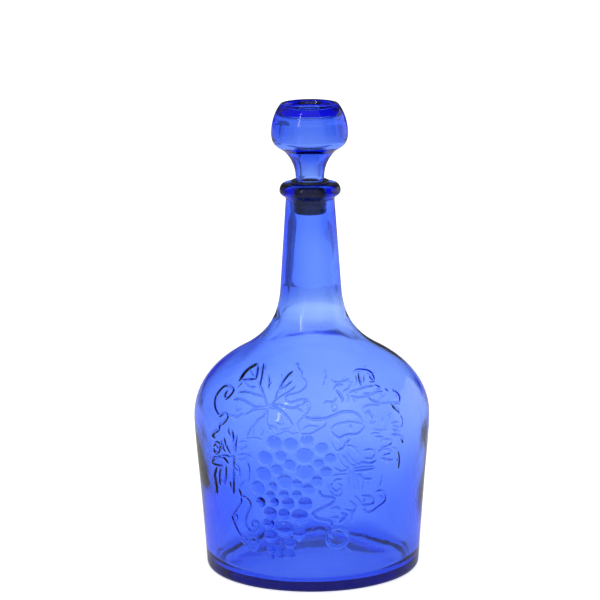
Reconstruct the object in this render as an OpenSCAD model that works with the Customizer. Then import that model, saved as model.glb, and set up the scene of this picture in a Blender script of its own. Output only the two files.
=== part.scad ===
// Round pressed-glass bottle with a grape and vine-leaf relief on its front,
// closed by a mushroom-shaped glass stopper that sits in a ribbed plastic sleeve.
// +Z is up and the bottle stands on z = 0 with its axis on the Z axis.
// The relief is on the -Y side.

/* [Body] */
// Radius at the widest level of the body
body_r = 73.7; // [72.5:0.1:75]
// Height of the widest level above the table
body_widest_z = 97; // [93:0.5:100]
// Height where the shoulder turns from bulging out to curving in
shoulder_turn_z = 139; // [137:0.5:141]
// Radius where the shoulder turns from bulging out to curving in
shoulder_turn_r = 44.4; // [43:0.1:46]
// Thickness of the glass at the widest level and in the shoulder
wall = 3.2; // [2.8:0.1:4]
// Thickness of the glass at the heel, where more of it settled
wall_low = 4.8; // [4:0.1:5.6]

/* [Base] */
// Outer radius of the flat ring that the bottle stands on
foot_r = 63.2; // [61.5:0.1:64]
// Rounding between that ring and the side
heel_round = 3.6; // [3:0.1:4.4]
// Radius of the push-up under the base
punt_r = 49; // [44:0.5:52]
// Height of the push-up at its centre
punt_rise = 5; // [3:0.5:7]
// Thickness of the glass over the foot
base_thick = 4.5; // [4:0.5:6]

/* [Neck and lip] */
// Height of the whole bottle without its stopper
bottle_h = 243.8; // [243:0.1:244.5]
// Height where the shoulder has become the neck
neck_foot_z = 178; // [176:0.5:182]
// Outer radius at that height
neck_foot_r = 19; // [18.5:0.1:19.5]
// Outer radius of the neck under the lip ring
neck_top_r = 15; // [14.6:0.1:15.4]
// Height of the lip ring's widest level
lip_z = 239; // [238:0.1:239.5]
// How far the lip ring bulges outwards from the middle of its section
lip_bulge = 3.5; // [3.2:0.1:3.8]
// Height of the lip ring below its widest level
lip_under = 3.2; // [2.8:0.1:3.6]
// Outer radius of the lip ring
lip_r = 19; // [18.6:0.1:19.4]
// Radius of the cylindrical mouth that takes the stopper
bore_r = 10.5; // [10.3:0.05:10.7]
// Depth of that cylinder below the top of the lip
bore_depth = 21; // [20:0.5:23]
// Length of the neck that curves out into the underside of the lip ring
lip_fillet = 2.5; // [1.5:0.5:4]

/* [Stopper sleeve] */
// Radius of the thin flange that lies on the lip
flange_r = 11.8; // [11.5:0.1:12.5]
// Thickness of the flange
flange_t = 1.7; // [1.5:0.1:2.2]
// Length of the sleeve below the flange
sleeve_len = 19; // [17:0.5:19.5]
// Thickness of the sleeve's closed end
sleeve_floor = 1.6; // [1.2:0.1:2.4]
// Radius of the sleeve between its ribs
sleeve_r = 10; // [9.8:0.05:10.1]
// Space between the crest of a rib and the mouth
rib_gap = 0.08; // [0.05:0.01:0.1]
// Number of sealing ribs
rib_count = 5; // [3:1:5]

/* [Stopper knob] */
// Radius of the knob at its widest
knob_r = 23.8; // [23:0.1:24.5]
// Height of the knob above the sleeve's flange
knob_h = 47.8; // [47.3:0.1:49]
// Radius of the stem where it meets the flange
stem_r = 8.9; // [8.6:0.1:9.2]
// Radius of the peg inside the sleeve
peg_r = 8; // [7.6:0.1:8.2]
// Radius of the rim round the dish in the top of the knob
crest_r = 16.9; // [16.5:0.1:17.3]
// Depth of that dish
dish_depth = 3.7; // [3:0.1:4.2]
// Thickness of the glass under the dish
roof_t = 3.5; // [3:0.1:4.5]
// Thickness of the glass round the top of the hollow in the knob
knob_wall = 6.4; // [5.5:0.1:7]
// Thickness of the glass round the foot of that hollow
knob_wall_low = 4.6; // [4:0.1:5.5]
// Radius of the throat where the stem opens into that hollow
throat_r = 10.8; // [10:0.1:11.5]
// Radius of the hollow up through the peg and stem
stem_bore_r = 5.2; // [4.4:0.1:5.6]

/* [Relief] */
// How far the grapes stand out from the wall
grape_relief = 1.7; // [1:0.1:2.2]
// How far the leaves stand out from the wall
leaf_relief = 0.9; // [0.5:0.1:1.4]

/* [Hidden] */
$fn = 96;

// Number of straight steps along a long curve and along a small round
CURVE_STEPS = 14;
ROUND_STEPS = 8;

// Outward direction of travel at the shoulder's turning point, from the vertical
shoulder_lean = 61.6;
shoulder_dir = [-sin(shoulder_lean), cos(shoulder_lean)];
inward_dir = [-cos(shoulder_lean), -sin(shoulder_lean)];

// Change of the neck's radius for each millimetre of height
neck_top_z = lip_z - lip_under;
neck_slope = (neck_top_r - neck_foot_r) / (neck_top_z - neck_foot_z);

// The stopper sits this far clear of the lip
seat_gap = 0.05;
flange_z = bottle_h + seat_gap;
stem_z = flange_z + flange_t;
knob_top = stem_z + knob_h;

// The peg ends this far above the closed end of the sleeve
peg_gap = 0.4;
sleeve_tail_z = flange_z - sleeve_len;
peg_z = sleeve_tail_z + sleeve_floor + peg_gap;

// Grapes hang in rows: height, sideways place of the first, number, spacing, radius
grape_rows = [
    [96, -23, 4, 9.4, 4.7],
    [87, -28, 5, 9.6, 4.7],
    [78.5, -30, 5, 9.4, 4.6],
    [70.5, -25.5, 4, 9, 4.4],
    [63, -32, 5, 7.6, 3.9],
    [56, -28, 4, 7.8, 4],
    [48.5, -25.5, 3, 8.8, 4.3],
    [40.5, -26, 3, 8.6, 4.2],
    [33, -24.5, 2, 8.6, 3.9],
    [26, -24, 2, 8, 3.4]
];

// Leaves: sideways place, height, size, turn, number of lobes
leaves = [
    [-27, 117, 20, 18, 5],
    [-48, 78, 17, -90, 5],
    [25, 80, 17, 90, 5],
    [33, 122, 14, 60, 5],
    [42, 98, 12, 0, 5]
];

// Points along a curve from a to d that leaves a towards b and reaches d from c
function bezier(a, b, c, d, steps) = [
    for (i = [0:steps])
        let (t = i / steps, u = 1 - t)
            u * u * u * a + 3 * u * u * t * b + 3 * u * t * t * c + t * t * t * d
];

// Points along an ellipse about c with radii r, from angle a0 to angle a1
function arc(c, r, a0, a1, steps) = [
    for (i = [0:steps])
        let (a = a0 + (a1 - a0) * i / steps)
            c + [r[0] * cos(a), r[1] * sin(a)]
];

// The two equal radii of a round
function round_of(r) = [r, r];

// Points of a shallow dome from its rim to its centre
function dome(rim_r, rise, z, steps) =
    let (ball = (rim_r * rim_r + rise * rise) / (2 * rise))
    [
        for (i = [0:steps])
            let (r = rim_r * (1 - i / steps))
                [r, z + rise - ball + sqrt(ball * ball - r * r)]
    ];

function reversed(points) = [for (i = [len(points) - 1:-1:0]) points[i]];

// Wall of the bottle from the heel to the foot of the neck,
// moved in by low at the heel and by depth from the widest level up
function wall_curve(low, depth) =
    let (
        turn = [shoulder_turn_r, shoulder_turn_z] + depth * inward_dir,
        widest = [body_r - depth, body_widest_z],
        heel = [foot_r + heel_round - low, heel_round + low]
    )
    concat(
        bezier(heel, widest - [2.8, 31], widest - [0, 12], widest, CURVE_STEPS),
        bezier(widest, widest + [0, 23.1 - depth], turn - 13 * shoulder_dir, turn, CURVE_STEPS),
        bezier(
            turn,
            turn + 20 * shoulder_dir,
            [neck_foot_r - depth - 18 * neck_slope, neck_foot_z - 18],
            [neck_foot_r - depth, neck_foot_z],
            CURVE_STEPS
        )
    );

outer_wall = wall_curve(0, 0);
wall_by_height = [for (p = outer_wall) [p[1], p[0]]];

// Radius of the outside of the bottle at height z
function wall_r(z) = lookup(z, wall_by_height);

// Outline of one leaf with pointed notches between its lobes
function leaf_outline(size, turn, lobes) = [
    for (a = [0:6:354])
        let (r = size * (0.55 + 0.45 * pow(abs(cos(a * lobes / 2)), 0.7)))
            r * [cos(a + turn), sin(a + turn)]
];

module bottle_solid() {
    lip_middle = [lip_r - lip_bulge, lip_z];
    lip_over = bottle_h - lip_z;
    neck_end = [neck_top_r - neck_slope * lip_fillet, neck_top_z - lip_fillet];
    under = lip_middle + [lip_bulge * cos(60), -lip_under * sin(60)];
    rotate_extrude()
        polygon(concat(
            reversed(dome(punt_r, punt_rise, 0, CURVE_STEPS)),
            arc([foot_r, heel_round], round_of(heel_round), -90, -8, ROUND_STEPS),
            outer_wall,
            bezier(neck_end, neck_end + [0, 1.7], under - [1.3, 0.7], under, ROUND_STEPS),
            arc(lip_middle, [lip_bulge, lip_under], -52, 0, ROUND_STEPS),
            arc(lip_middle, [lip_bulge, lip_over], 6, 90, ROUND_STEPS),
            [[0, bottle_h]]
        ));
}

module bottle_cavity() {
    neck_foot_inner_r = 14.5;
    inner_heel = 9;
    wall_lean = 0.6;
    heel_middle = [foot_r + heel_round - wall_low - inner_heel + wall_lean, base_thick + inner_heel];
    mouth_round = 0.6;
    mouth_middle = [bore_r + mouth_round, bottle_h - mouth_round];
    above = 1;
    inner_wall = wall_curve(wall_low, wall);
    rotate_extrude()
        polygon(concat(
            reversed(dome(heel_middle[0], punt_rise, base_thick, CURVE_STEPS)),
            arc(heel_middle, round_of(inner_heel), -84, -8, ROUND_STEPS),
            [for (p = inner_wall) if (p[1] > heel_middle[1] && p[1] < neck_foot_z - 20) p],
            [[neck_foot_inner_r, neck_foot_z], [bore_r, bottle_h - bore_depth]],
            arc(mouth_middle, round_of(mouth_round), 180, 90, ROUND_STEPS),
            [[mouth_middle[0], bottle_h + above], [0, bottle_h + above]]
        ));
}

// A round berry half sunk in the front wall at sideways place x and height z
module grape(x, z, r) {
    depth = r - grape_relief;
    front = wall_r(z);
    side = asin(x / front);
    rotate([0, 0, side])
        translate([0, depth - front, z])
            sphere(r);
}

module grape_cluster() {
    for (row = grape_rows)
        for (i = [0:row[2] - 1])
            grape(row[1] + i * row[3], row[0], row[4]);
}

// The outside of the body, leaf_relief thicker, without foot or neck
module thickened_body() {
    band = [for (p = outer_wall) if (p[1] > 12 && p[1] < 150) p + [leaf_relief, 0]];
    rotate_extrude()
        polygon(concat([[0, band[0][1]]], band, [[0, band[len(band) - 1][1]]]));
}

module leaf_pads() {
    reach = body_r + 5;
    for (leaf = leaves)
        intersection() {
            thickened_body();
            translate([leaf[0], -reach / 4, leaf[1]])
                rotate([90, 0, 0])
                    linear_extrude(reach)
                        polygon(leaf_outline(leaf[2], leaf[3], leaf[4]));
        }
}

module bottle() {
    color("royalblue")
        difference() {
            union() {
                bottle_solid();
                grape_cluster();
                leaf_pads();
            }
            bottle_cavity();
        }
}

module knob_solid() {
    peg_chamfer = 0.6;
    stem = [stem_r, stem_z + 1.5];
    flare_top = [15.5, stem_z + 17.8];
    corner = [knob_r - 2.5, stem_z + 22];
    widest = [knob_r, stem_z + 29.3];
    rim_round = 1.6;
    rim = [crest_r, knob_top - rim_round];
    rim_side = rim + rim_round * [cos(60), sin(60)];
    brink = rim + rim_round * [cos(165), sin(165)];
    dish_floor = [crest_r - 4.2, knob_top - dish_depth];
    rotate_extrude()
        polygon(concat(
            [[0, peg_z], [peg_r - peg_chamfer, peg_z], [peg_r, peg_z + peg_chamfer]],
            [[peg_r, stem_z], [stem_r, stem_z]],
            bezier(stem, stem + [0, 6.5], [11.4, stem_z + 13.3], flare_top, CURVE_STEPS),
            bezier(corner, corner + [1.2, 0.9], widest - [0, 4], widest, CURVE_STEPS),
            bezier(widest, widest + [0, 8], rim + [3.6, -1.6], rim_side, CURVE_STEPS),
            arc(rim, round_of(rim_round), 70, 155, ROUND_STEPS),
            bezier(brink, brink - [0.4, 1.6], dish_floor + [2, 0], dish_floor, ROUND_STEPS),
            [[0, dish_floor[1] - 0.2]]
        ));
}

// The hollow runs up the peg and stem, then opens past a sharp throat into the knob
module knob_hollow() {
    below = 1;
    throat_foot = [stem_bore_r, stem_z + 7];
    throat = [throat_r, stem_z + 20.9];
    roof_z = knob_top - dish_depth - roof_t;
    side_r = knob_r - knob_wall;
    heel = [knob_r - knob_wall_low, stem_z + 25.5];
    shoulder = [side_r, roof_z - 5];
    rotate_extrude()
        polygon(concat(
            [[0, peg_z - below], [stem_bore_r, peg_z - below]],
            bezier(throat_foot, throat_foot + [0, 6], throat - [3.4, 2.5], throat, CURVE_STEPS),
            bezier(throat + [0.3, 0], throat + [4.2, -0.3], heel - [0, 1.6], heel, ROUND_STEPS),
            bezier(shoulder, shoulder + [0, 3], [side_r - 1.5, roof_z], [side_r - 4.5, roof_z], ROUND_STEPS),
            [[0, roof_z]]
        ));
}

module stopper_knob() {
    color("royalblue")
        difference() {
            knob_solid();
            knob_hollow();
        }
}

module stopper_sleeve() {
    rib_r = bore_r - rib_gap;
    rib_half = 0.7;
    crest_half = 0.1;
    lead_in = 1;
    edge_round = 0.8;
    rib_pitch = (sleeve_len - 4.5) / (rib_count - 1);
    floor_z = sleeve_tail_z + sleeve_floor;
    color("black")
        rotate_extrude()
            polygon(concat(
                [[0, floor_z], [0, sleeve_tail_z], [sleeve_r - lead_in, sleeve_tail_z]],
                [[sleeve_r, sleeve_tail_z + lead_in]],
                [
                    for (i = [0:rib_count - 1])
                        let (z = sleeve_tail_z + 2.4 + i * rib_pitch)
                            each [
                                [sleeve_r, z - rib_half],
                                [rib_r, z - crest_half],
                                [rib_r, z + crest_half],
                                [sleeve_r, z + rib_half]
                            ]
                ],
                [[sleeve_r, flange_z], [flange_r - 0.3, flange_z], [flange_r, flange_z + 0.3]],
                arc([flange_r - edge_round, stem_z - edge_round], round_of(edge_round), 0, 90, ROUND_STEPS),
                [[peg_r, stem_z], [peg_r, floor_z]]
            ));
}

bottle();
stopper_knob();
stopper_sleeve();
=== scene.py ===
import math

import bpy
import numpy as np
from mathutils import Euler, Matrix, Vector


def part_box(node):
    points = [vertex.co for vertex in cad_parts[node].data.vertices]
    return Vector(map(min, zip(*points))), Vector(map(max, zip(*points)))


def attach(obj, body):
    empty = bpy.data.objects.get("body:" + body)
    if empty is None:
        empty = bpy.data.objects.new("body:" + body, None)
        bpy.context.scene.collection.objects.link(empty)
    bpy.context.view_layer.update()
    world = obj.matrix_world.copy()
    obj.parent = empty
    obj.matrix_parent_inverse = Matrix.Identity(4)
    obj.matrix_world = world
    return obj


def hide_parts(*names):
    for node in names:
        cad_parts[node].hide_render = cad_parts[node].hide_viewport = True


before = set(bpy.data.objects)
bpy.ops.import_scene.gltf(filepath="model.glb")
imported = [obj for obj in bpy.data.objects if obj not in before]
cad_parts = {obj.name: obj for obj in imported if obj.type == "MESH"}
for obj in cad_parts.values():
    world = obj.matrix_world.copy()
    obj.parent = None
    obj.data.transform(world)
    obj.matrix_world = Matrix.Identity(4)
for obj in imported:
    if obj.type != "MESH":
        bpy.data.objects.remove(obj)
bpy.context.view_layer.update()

# Lengths are in millimetres unless a name ends in _M. The relief is on the -Y side.
MM = 0.001
BOTTLE_LOW, BOTTLE_HIGH = [[v / MM for v in corner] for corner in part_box("bottle")]
KNOB_LOW, KNOB_HIGH = [[v / MM for v in corner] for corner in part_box("stopper_knob")]
SLEEVE_LOW, SLEEVE_HIGH = [[v / MM for v in corner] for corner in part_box("stopper_sleeve")]

# Bottle
BOTTLE_H = BOTTLE_HIGH[2]
BODY_R = (BOTTLE_HIGH[0] - BOTTLE_LOW[0]) / 2
WIDEST_Z = 97.0
TURN = np.array([44.4, 139.0])
LEAN = math.radians(61.6)
WALL, WALL_LOW = 3.2, 4.8
FOOT_R, HEEL_ROUND = 63.2, 3.6
PUNT_R, PUNT_RISE, BASE_THICK = 49.0, 5.0, 4.5
NECK_FOOT = np.array([19.0, 178.0])
NECK_TOP_R, LIP_R, LIP_Z, LIP_BULGE, LIP_UNDER, FILLET = 15.0, 19.0, 239.0, 3.5, 3.2, 2.5
BORE_R, BORE_DEPTH, MOUTH_ROUND = 10.5, 21.0, 0.6
INNER_HEEL, INNER_HEEL_OUT, NECK_FOOT_INNER_R, FLARE_LOW = 9.0, 0.6, 14.5, 20

# Stopper
STEM_Z = SLEEVE_HIGH[2]
KNOB_TOP = KNOB_HIGH[2]
KNOB_R = (KNOB_HIGH[0] - KNOB_LOW[0]) / 2
STEM_R, PEG_R, STEM_BORE_R = 8.9, 8.0, 5.2
CREST_R, DISH_DEPTH, RIM_ROUND = 16.9, 3.7, 1.6
KNOB_WALL, KNOB_WALL_LOW, ROOF, THROAT_R, THROAT_UP = 6.4, 4.6, 3.5, 10.8, 20.9
SLEEVE_FLOOR = 1.6
FLANGE_R, FLANGE_T = (SLEEVE_HIGH[0] - SLEEVE_LOW[0]) / 2, 1.7
SLEEVE_R, RIB_R, RIBS = 10.0, 10.42, 5

# Mesh: columns round the axis, and how finely a cell with relief on it is divided
COLUMNS, SUB, CELL = 232, 6, 2.0
STOPPER_COLUMNS = 144

# Glass, cobalt blue; the density is per metre
GLASS_IOR = 1.5
GLASS_TINT = (0.06, 0.375, 0.95, 1)
GLASS_DENSITY = 270.0

# Studio, in metres: a pale floor, bright only where it fills the view, before a lit wall and a card
WORLD_STRENGTH = 0.1
FAR_GLOW, BACKDROP_GLOW, WALL_GLOW, CARD_GLOW = 1.14, 1.14, 1.12, 0.75
ROOM_GLOW, NEAR_GLOW, LEFT_GLOW = 1.1, 0.45, 0.25
FLOOR_GLOW, SIDE_FLOOR_GLOW = (0.74, 0.84, 1.0), (0.16, 0.16, 0.16)
VIEW_LEFT, VIEW_RIGHT, VIEW_NEAR, VIEW_FAR, GLOW_STEP = -0.45, 1.6, -1.2, 2.2, 0.045
GLOW_END, SEAM = 0.7, 0.01
FLOOR_REACH, BACKDROP_TOP, WALL_TOP, CARD_TOP, CARD_NEAR = 3.0, 0.16, 6.0, 0.9, -0.1
FLOOR_LOW, ROOM_LOW, AROUND_LOW, WALL_BEHIND = -0.0003, -0.001, -0.0023, 0.05
# Lights: watts, size, place, where it points
KEY_LIGHT = (2.5, (0.12, 1.1), (-0.9, -1.3, 1.2), (0, 0, 0.15))
TOP_LIGHT = (6, (1.2, 1.2), (0, 0.3, 1.9), (0, 0, 0.1))
SENSOR, LENS, CLIP_END = 36, 192, 50
CAMERA_PLACE, CAMERA_DOWN, CAMERA_TURN, CAMERA_ROLL = (0, -1.947, 0.5867), 12.09, 0.2, -0.5


# Grapes: sideways place, height, radius
GRAPES = [
    (-3.1, 98.1, 4.0), (-23, 95.6, 5.1), (-13, 95.3, 4.6), (5.8, 92.9, 4.2), (-4.5, 88.2, 5.6),
    (-19.1, 87.5, 3.8), (10.9, 86.4, 3.8), (-28.5, 85.6, 4.9), (4, 83.6, 3.3),
    (-13.9, 82.3, 4.0), (-21.5, 78.8, 3.8), (-4.5, 78, 5.6), (8.3, 77.9, 3.8),
    (-29.8, 75.2, 5.1), (2.5, 72.5, 3.8), (-16.7, 71.7, 4.9), (-9.3, 70.4, 3.3),
    (-24.1, 68.4, 2.8), (-2.4, 67.4, 3.8), (-33.2, 66.2, 4.6), (-9.4, 63.5, 3.0),
    (-17.3, 63.1, 3.2), (-25.6, 62.3, 3.0), (-23.1, 58.3, 2.8), (-4.4, 58, 4.2),
    (-14.8, 57.9, 3.8), (-31.5, 57.3, 3.2), (-17.4, 50.7, 3.5), (-25.7, 50.5, 4.2),
    (-7.8, 49.7, 4.9), (-26.6, 43.9, 3.5), (-17, 41.1, 5.1), (-8.4, 38.9, 3.8),
    (-25.7, 35.9, 4.0), (-14, 32.1, 3.3), (-20.1, 27.8, 2.5), (-25.5, 27.3, 2.8),
    (-14.1, 25.1, 3.3), (-20.2, 24, 2.5), (-25.3, 22.9, 2.0),
]
GRAPE_H, GRAPE_H_LOW = 1.6, 2.3

# Raised strokes of the pattern: half width, then points as sideways place and height
LEAF_VEINS = [
    (0.7, [(-26.7, 116.6), (-28.6, 121.7), (-30.5, 125.9), (-31.5, 128.0), (-30.6, 131.8),
           (-29.9, 135.8), (-29.5, 137.7)]),
    (0.6, [(-26.7, 116.6), (-34.3, 116.4), (-37.4, 117.4), (-41.3, 118.8), (-45.2, 119.1),
           (-47.6, 118.1)]),
    (0.5, [(-27.1, 116.2), (-35.1, 114.6), (-38.9, 112.3), (-41.3, 110.9)]),
    (0.6, [(-26.8, 116.2), (-29.0, 112.1), (-32.8, 108.9), (-35.1, 105.7), (-37.5, 102.7),
           (-39.8, 98.2)]),
    (0.5, [(-35.1, 105.7), (-35.9, 102.6), (-36.0, 98.6)]),
    (0.6, [(-26.7, 116.2), (-27.1, 112.3), (-26.7, 106.6), (-24.5, 103.7)]),
    (0.5, [(-26.7, 106.5), (-22.6, 105.7), (-21.3, 103.2)]),
    (0.7, [(-26.3, 116.9), (-21.4, 116.7), (-18.3, 115.1), (-15.3, 112.5), (-13.1, 109.7),
           (-11.4, 107.1)]),
    (0.6, [(-26.3, 116.6), (-22.1, 118.6), (-18.3, 118.5), (-14.5, 117.4), (-10.0, 117.6),
           (-6.8, 119.1)]),
    (0.45, [(-9.6, 117.2), (-7.0, 116.3), (-5.0, 114.8)]),
    (0.6, [(-26.5, 116.9), (-22.9, 120.2), (-21.4, 124.2), (-20.2, 126.5)]),
    (0.95, [(-20.2, 126.5), (-17.6, 130.6), (-14.5, 133.8), (-11.7, 135.7)]),
    (0.6, [(-20.2, 126.5), (-16.0, 128.4), (-11.9, 131.2)]),
    (0.5, [(-22.9, 120.2), (-19.1, 123.1), (-14.5, 125.6), (-9.7, 128.7)]),
    (0.6, [(-26.2, 133.2), (-26.0, 130.0), (-26.3, 126.2)]),
    (0.45, [(-26.1, 128.2), (-24.3, 130.0)]),
    (0.5, [(-28.8, 122.2), (-34.4, 123.0), (-39.6, 123.5), (-44.8, 122.5)]),
    (0.4, [(-18.4, 134.8), (-18.0, 132.3)]),
    (0.4, [(-18.0, 113.7), (-18.5, 110.9), (-17.3, 107.7)]),
    (0.4, [(-22.2, 108.5), (-19.1, 107.6), (-16.7, 108.1)]),
    (0.4, [(-19.2, 104.3), (-15.4, 105.2), (-12.3, 106.1)]),
    (0.4, [(-31.3, 105.4), (-29.8, 101.8), (-31.4, 99.4)]),
    (0.4, [(-42.8, 114.5), (-45.9, 112.5), (-46.2, 115.2)]),
]
LEAF_FOLD = [
    (1.5, [(-44.1, 128.4), (-41.5, 131.9), (-37.7, 134.9), (-33.7, 137.0)]),
    (0.8, [(-33.0, 136.8), (-33.3, 133.8), (-34.0, 130.5)]),
    (0.7, [(-34.0, 130.5), (-37.5, 129.9), (-42.2, 128.9)]),
    (0.5, [(-38.0, 134.2), (-36.0, 132.3), (-34.5, 130.7)]),
    (0.6, [(-37.5, 126.5), (-33.9, 126.8)]),
    (0.45, [(-41.4, 128.6), (-39.0, 127.0), (-35.9, 125.9)]),
    (0.5, [(-28.2, 137.2), (-28.5, 135.5)]),
]
LEAF_RIM = [
    (0.5, [(-9.6, 138.9), (-8.3, 139.6), (-8.0, 137.8), (-6.0, 135.7), (-6.3, 133.6)]),
    (0.45, [(-5.8, 133.4), (-3.4, 131.3), (-3.7, 128.7), (-6.9, 126.2), (-11.5, 124.8),
           (-15.3, 123.6), (-16.0, 122.0), (-13.0, 120.4), (-6.9, 122.0), (-1.9, 122.0)]),
    (0.45, [(-1.8, 121.0), (-2.3, 118.9), (-3.2, 114.8), (-7.0, 110.6), (-8.5, 107.8), (-7.3, 103.3)]),
    (0.4, [(-7.3, 103.3), (-11.6, 102.3), (-15.4, 103.7), (-19.2, 101.9), (-23.0, 101.0)]),
    (0.4, [(-29.9, 97.2), (-34.4, 98.2), (-40.6, 96.7)]),
    (0.4, [(-45.2, 124.7), (-42.9, 127.2), (-44.1, 128.4)]),
]
CURL = [
    (0.95, [(-52.5, 117.3), (-53.3, 119.0), (-51.9, 121.5)]),
    (0.85, [(-52.5, 117.3), (-49.5, 120.3), (-48.0, 122.9), (-50.3, 124.3), (-53.1, 123.8),
           (-56.2, 120.9), (-58.6, 117.4), (-59.6, 113.8), (-59.3, 110.6), (-58.0, 108.4),
           (-56.4, 107.2), (-54.5, 109.0), (-52.5, 109.5), (-51.4, 108.2), (-52.6, 105.7),
           (-54.5, 103.3), (-56.4, 102.0), (-56.9, 99.0)]),
    (1.0, [(-56.9, 98.6), (-59.7, 96.4), (-61.2, 93.5), (-60.0, 92.7)]),
    (0.6, [(-51.2, 108.9), (-48.5, 109.2), (-45.9, 109.0), (-43.6, 110.6), (-41.3, 111.4)]),
    (0.7, [(-46.6, 118.3), (-45.3, 118.2)]),
]
SIDE_LEAF = [
    (0.8, [(-50.8, 101.4), (-51.0, 98.9), (-49.9, 97.0), (-49.4, 95.3)]),
    (1.1, [(-48.7, 100.4), (-48.3, 96.6), (-47.9, 92.7), (-47.7, 86.1)]),
    (1.0, [(-45.8, 97.9), (-46.7, 92.9), (-47.0, 87.1)]),
    (0.8, [(-53.8, 94.4), (-52.6, 89.9), (-50.2, 85.3)]),
    (0.8, [(-60.8, 87.0), (-58.6, 90.1), (-56.4, 89.4), (-57.1, 85.2), (-59.4, 83.0), (-60.5, 84.9)]),
    (0.7, [(-58.7, 87.8), (-57.8, 86.5)]),
    (0.7, [(-55.3, 92.3), (-55.8, 90.1), (-54.7, 88.8)]),
    (0.7, [(-53.9, 91.2), (-54.6, 87.7), (-53.2, 85.6)]),
    (0.6, [(-45.4, 85.0), (-41.5, 86.7), (-38.4, 86.5), (-36.7, 85.0)]),
    (0.55, [(-44.8, 92.9), (-42.5, 94.6), (-39.7, 94.9)]),
    (0.55, [(-44.1, 88.5), (-41.4, 90.6), (-38.8, 93.0)]),
    (0.7, [(-47.7, 84.6), (-50.1, 83.0), (-53.2, 83.1), (-56.4, 81.6)]),
    (0.9, [(-62.0, 75.8), (-60.5, 78.9), (-57.2, 80.8), (-54.1, 81.1), (-51.6, 78.7)]),
    (0.9, [(-61.7, 74.9), (-58.9, 74.8), (-55.6, 75.8)]),
    (1.1, [(-48.0, 84.5), (-48.2, 77.9), (-48.4, 68.1), (-48.6, 59.7)]),
    (0.8, [(-50.5, 66.6), (-49.6, 62.9), (-48.7, 59.8)]),
    (1.0, [(-59.0, 73.3), (-60.2, 68.3), (-59.4, 63.6), (-58.9, 56.4)]),
    (0.7, [(-56.6, 73.3), (-57.1, 68.7), (-56.9, 62.8)]),
    (0.8, [(-52.9, 76.0), (-53.0, 70.9), (-54.0, 64.3)]),
    (0.6, [(-48.0, 76.7), (-45.5, 75.3), (-43.8, 73.1)]),
    (0.6, [(-47.0, 79.8), (-44.7, 77.0), (-44.2, 70.7)]),
    (0.8, [(-39.5, 82.0), (-38.4, 77.5), (-38.9, 71.0), (-40.3, 68.9)]),
    (0.5, [(-40.9, 69.5), (-43.9, 66.2), (-45.4, 63.8)]),
    (0.5, [(-45.4, 81.9), (-42.3, 83.3), (-39.2, 85.5)]),
]
LOW_TENDRILS = [
    (0.95, [(-45.1, 63.5), (-44.3, 60.9), (-43.8, 58.8)]),
    (0.7, [(-43.8, 58.8), (-41.1, 58.8), (-38.8, 56.8), (-37.9, 54.1), (-39.2, 50.6),
           (-40.8, 46.2), (-41.0, 41.2), (-39.3, 38.3), (-36.7, 36.8), (-34.5, 37.9)]),
    (0.6, [(-34.5, 37.9), (-33.1, 40.4), (-33.5, 43.5), (-35.4, 44.4), (-37.1, 42.8),
           (-36.7, 40.8), (-35.1, 40.6)]),
    (0.8, [(-43.8, 58.6), (-43.9, 55.3), (-45.9, 51.6), (-47.9, 47.8), (-49.5, 44.7),
           (-48.7, 41.8), (-47.2, 38.1), (-45.3, 34.4), (-42.2, 31.1), (-38.4, 28.6), (-35.9, 28.6)]),
    (0.6, [(-43.8, 30.9), (-41.5, 28.4), (-38.4, 25.6), (-35.3, 26.1), (-33.5, 30.2),
           (-34.4, 33.5), (-36.7, 34.3), (-38.5, 32.4), (-37.4, 30.5), (-35.9, 30.8)]),
    (0.6, [(-49.3, 44.6), (-46.6, 45.8), (-46.3, 43.4)]),
    (0.6, [(-48.5, 41.2), (-46.1, 42.5)]),
    (0.6, [(-47.9, 38.7), (-46.2, 39.5)]),
]
BRANCH = [
    (0.75, [(-4.7, 112.5), (0.6, 111.1), (7.4, 111.3), (13.4, 112.9), (18.0, 114.4), (23.3, 114.2),
           (27.1, 112.7), (29.4, 110.0), (31.4, 106.7)]),
    (0.6, [(-7.1, 102.3), (-1.0, 102.5), (3.5, 104.7), (7.3, 106.7), (9.0, 108.6)]),
    (0.5, [(-5.5, 104.8), (-2.5, 107.1), (4.3, 106.7)]),
    (0.5, [(-6.2, 118.5), (-3.9, 120.9), (-1.6, 120.4), (-1.2, 117.7), (-3.3, 114.1), (-4.7, 112.5)]),
]
OVAL_LEAF = [
    (0.8, [(31.8, 104.7), (29.3, 101.9), (26.3, 100.7), (22.5, 101.0), (19.4, 100.5), (16.4, 99.3),
           (13.4, 101.2), (11.4, 103.6)]),
    (0.55, [(11.4, 103.6), (12.0, 105.8), (15.7, 107.8), (23.3, 108.4), (31.3, 106.4)]),
    (1.1, [(23.1, 107.2), (23.4, 103.5)]),
    (0.9, [(15.3, 91.2), (18.6, 92.9), (20.6, 95.6), (23.1, 97.9)]),
    (0.6, [(11.8, 97.1), (13.0, 93.9), (15.0, 90.8)]),
]
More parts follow.
